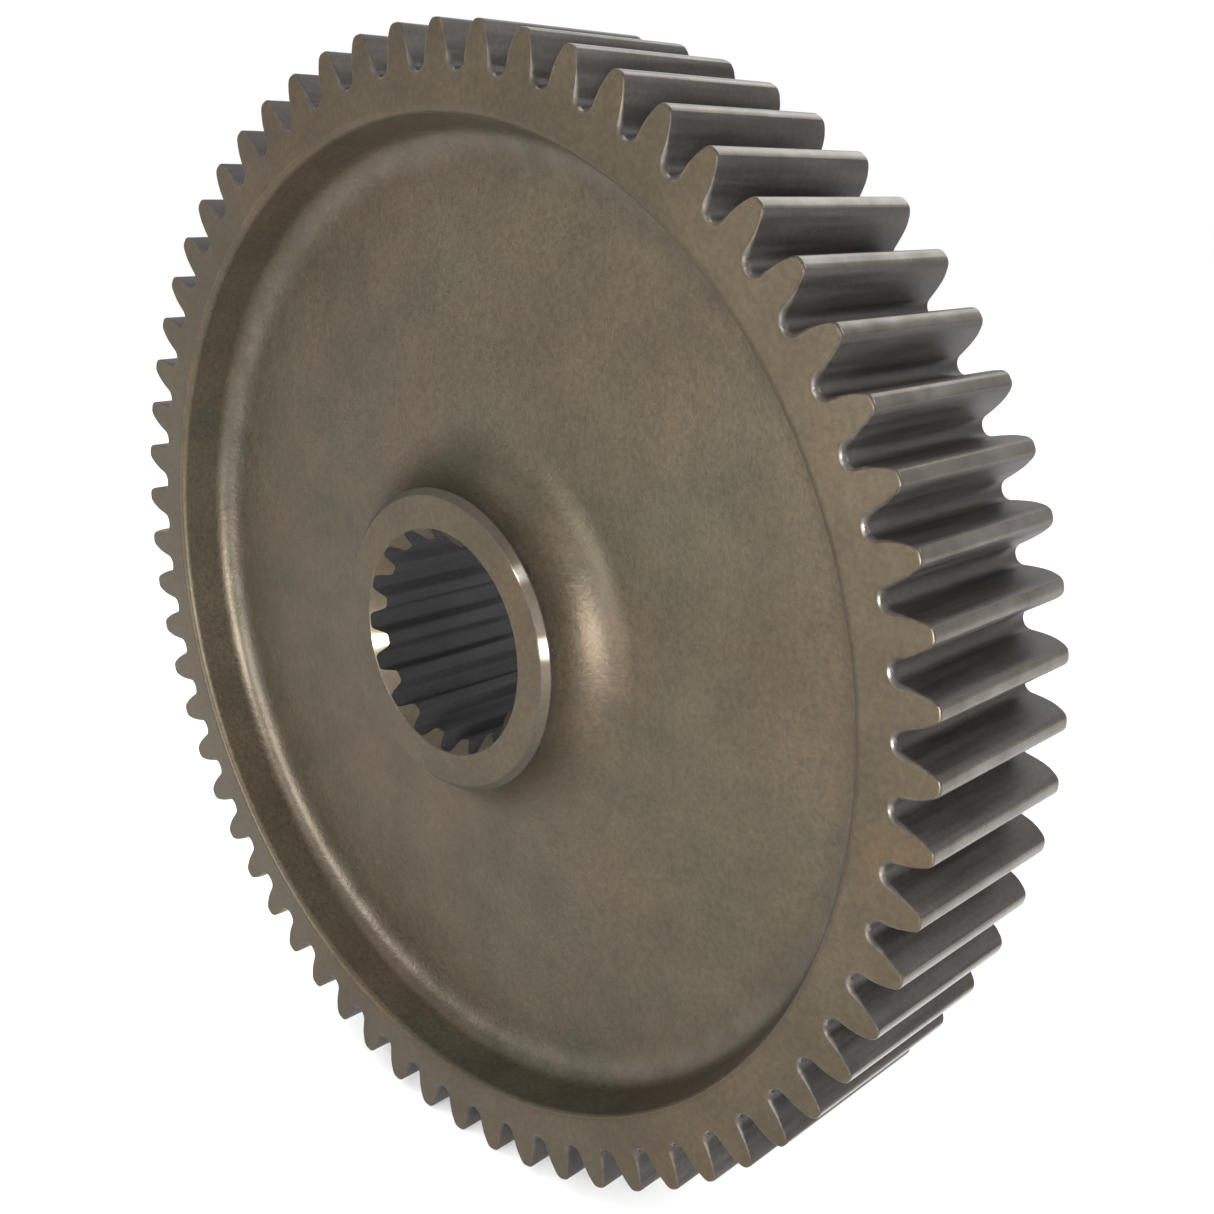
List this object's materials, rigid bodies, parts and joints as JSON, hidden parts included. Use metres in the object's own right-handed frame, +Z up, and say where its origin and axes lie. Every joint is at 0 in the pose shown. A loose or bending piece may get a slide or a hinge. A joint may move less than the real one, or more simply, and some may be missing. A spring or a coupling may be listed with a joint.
{
  "type": "spur gear",
  "caption": "Dished spur gear with straight teeth round its rim, a thinner web and a hub with a splined bore.",
  "frame": {"origin": "on the gear's axis, half way through the face width", "axes": "+Y along the gear's axis, from the front face to the back face; +Z up, with the gear upright as its shaft carries it"},
  "size_m": [0.1788, 0.0308, 0.1787],
  "materials": {
    "rim_steel": "machined and heat-treated, dark brown-grey oxide, satin",
    "web_steel": "forged and shot-blasted, dark brown-grey oxide, fine grain",
    "hub_steel": "machined and broached, dark brown-grey oxide, satin"
  },
  "bodies": {
    "root": {"toothed_rim": "rim_steel", "web_disc": "web_steel", "splined_hub": "hub_steel"}
  },
  "joints": []
}
